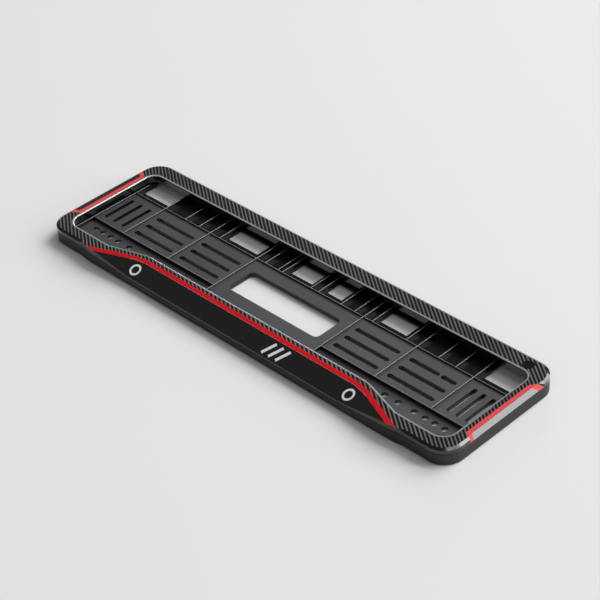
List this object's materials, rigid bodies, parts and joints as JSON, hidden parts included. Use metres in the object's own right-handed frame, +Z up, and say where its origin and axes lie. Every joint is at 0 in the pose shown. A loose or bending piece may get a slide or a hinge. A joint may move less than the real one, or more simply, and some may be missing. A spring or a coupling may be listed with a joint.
{
  "type": "number plate holder",
  "caption": "Flat rectangular number plate holder: ribbed, slotted base tray under a clip-on front frame with a gloss panel and coloured stripes.",
  "frame": {"origin": "centre of the footprint, on the surface that the holder lies on", "axes": "+X along the length, -Y the long side with the gloss panel, +Z up, out of the face that shows the plate"},
  "size_m": [0.532, 0.15, 0.018],
  "materials": {
    "tray_plastic": "matte injection-moulded black",
    "frame_plastic": "clear-coated carbon-look print on the flat face, plain gloss black elsewhere",
    "gloss_black": "high gloss",
    "red_film": "gloss red film",
    "white_print": "white print",
    "dark_label": "smooth dark label"
  },
  "bodies": {
    "root": {"base_tray": "tray_plastic", "front_frame": "frame_plastic", "front_panel": "gloss_black", "stripe_front": "red_film", "end_panel_left": "gloss_black", "stripe_left": "red_film", "end_panel_right": "gloss_black", "stripe_right": "red_film", "ring_left": "white_print", "bar_left": "white_print", "bar_middle": "white_print", "bar_right": "white_print", "ring_right": "white_print", "round_sticker": "dark_label"}
  },
  "joints": []
}
